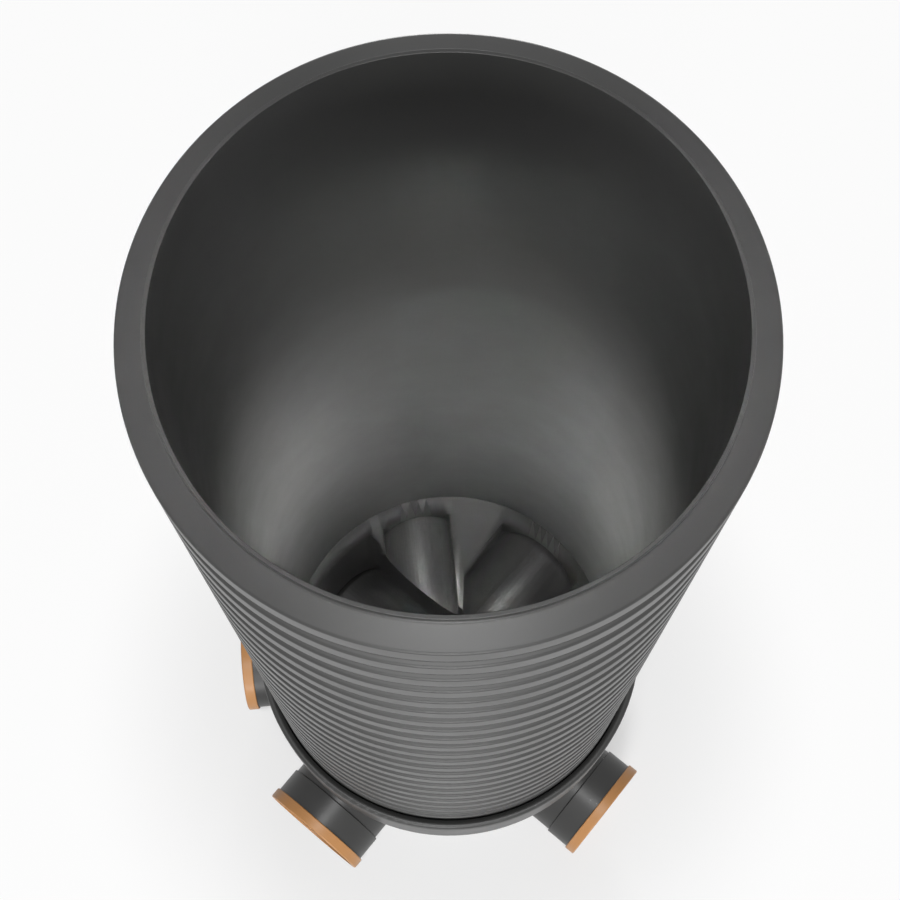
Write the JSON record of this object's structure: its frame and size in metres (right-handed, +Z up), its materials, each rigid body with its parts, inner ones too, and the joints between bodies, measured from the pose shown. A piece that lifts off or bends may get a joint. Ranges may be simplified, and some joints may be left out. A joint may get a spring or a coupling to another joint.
{
  "type": "drain inspection chamber",
  "caption": "Drain inspection chamber: a benched base with open channels and pipe sockets carries a ribbed riser pipe.",
  "frame": {"origin": "on the ground under the riser's axis, at the middle of the base", "axes": "+Z up along the riser's axis, +X towards the outlet, side inlets along Y"},
  "size_m": [0.848, 0.848, 2.168],
  "materials": {
    "base_plastic": "satin, moulded",
    "riser_plastic": "satin, extruded",
    "socket_plastic": "satin, moulded",
    "cap_plastic": "satin, moulded",
    "seal_rubber": "matt"
  },
  "bodies": {
    "root": {"base": "base_plastic", "riser": "riser_plastic", "riser_seal": "seal_rubber", "socket_outlet": "socket_plastic", "cap_outlet": "cap_plastic", "seal_outlet": "seal_rubber", "socket_straight_inlet": "socket_plastic", "cap_straight_inlet": "cap_plastic", "seal_straight_inlet": "seal_rubber", "socket_side_inlet_left": "socket_plastic", "cap_side_inlet_left": "cap_plastic", "seal_side_inlet_left": "seal_rubber", "socket_side_inlet_right": "socket_plastic", "cap_side_inlet_right": "cap_plastic", "seal_side_inlet_right": "seal_rubber", "socket_angled_inlet_left": "socket_plastic", "cap_angled_inlet_left": "cap_plastic", "seal_angled_inlet_left": "seal_rubber", "socket_angled_inlet_right": "socket_plastic", "cap_angled_inlet_right": "cap_plastic", "seal_angled_inlet_right": "seal_rubber"}
  },
  "joints": []
}
